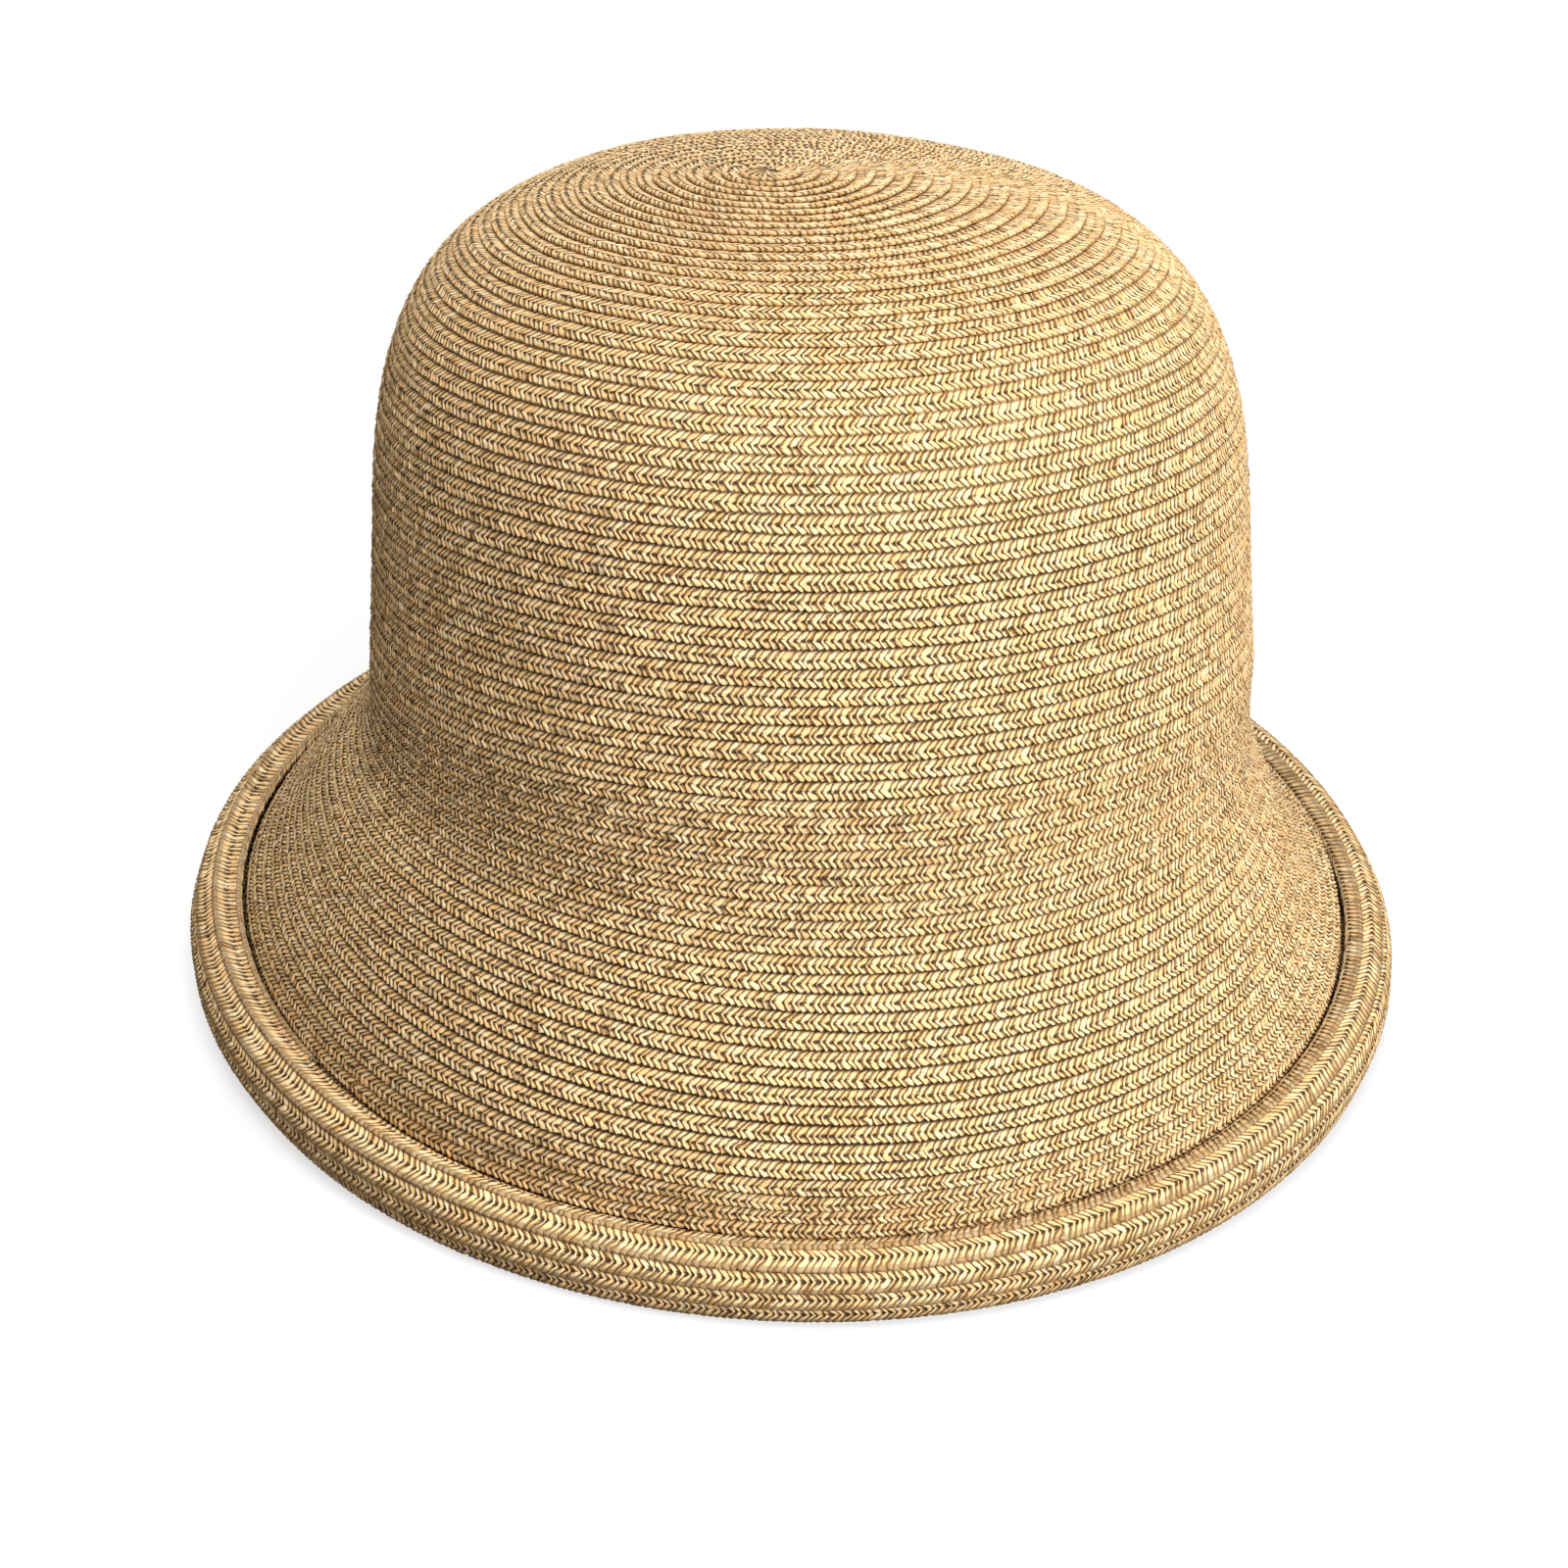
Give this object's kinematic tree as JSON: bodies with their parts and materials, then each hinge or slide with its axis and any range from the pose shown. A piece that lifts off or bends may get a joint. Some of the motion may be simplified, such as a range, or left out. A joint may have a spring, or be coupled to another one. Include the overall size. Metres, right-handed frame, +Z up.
{
  "type": "straw bucket hat",
  "caption": "Sewn straw plait hat with a domed crown, a steeply falling brim and a narrow turned-up rolled edge, open below for the head.",
  "frame": {"origin": "on the surface the hat rests on, under the middle of the rim", "axes": "+Z up, -Y towards the front of the hat, +X towards the right of someone who looks at the front"},
  "size_m": [0.2604, 0.2598, 0.1902],
  "materials": {
    "crown_straw": "matt herringbone paper-straw plait, warm natural tan with pale and orange-tan strands",
    "brim_straw": "matt herringbone paper-straw plait, warm natural tan with pale and orange-tan strands",
    "edge_straw": "matt herringbone paper-straw plait, its back face turned outward on the roll"
  },
  "bodies": {
    "root": {"crown": "crown_straw", "brim": "brim_straw", "rolled_edge": "edge_straw"}
  },
  "joints": []
}
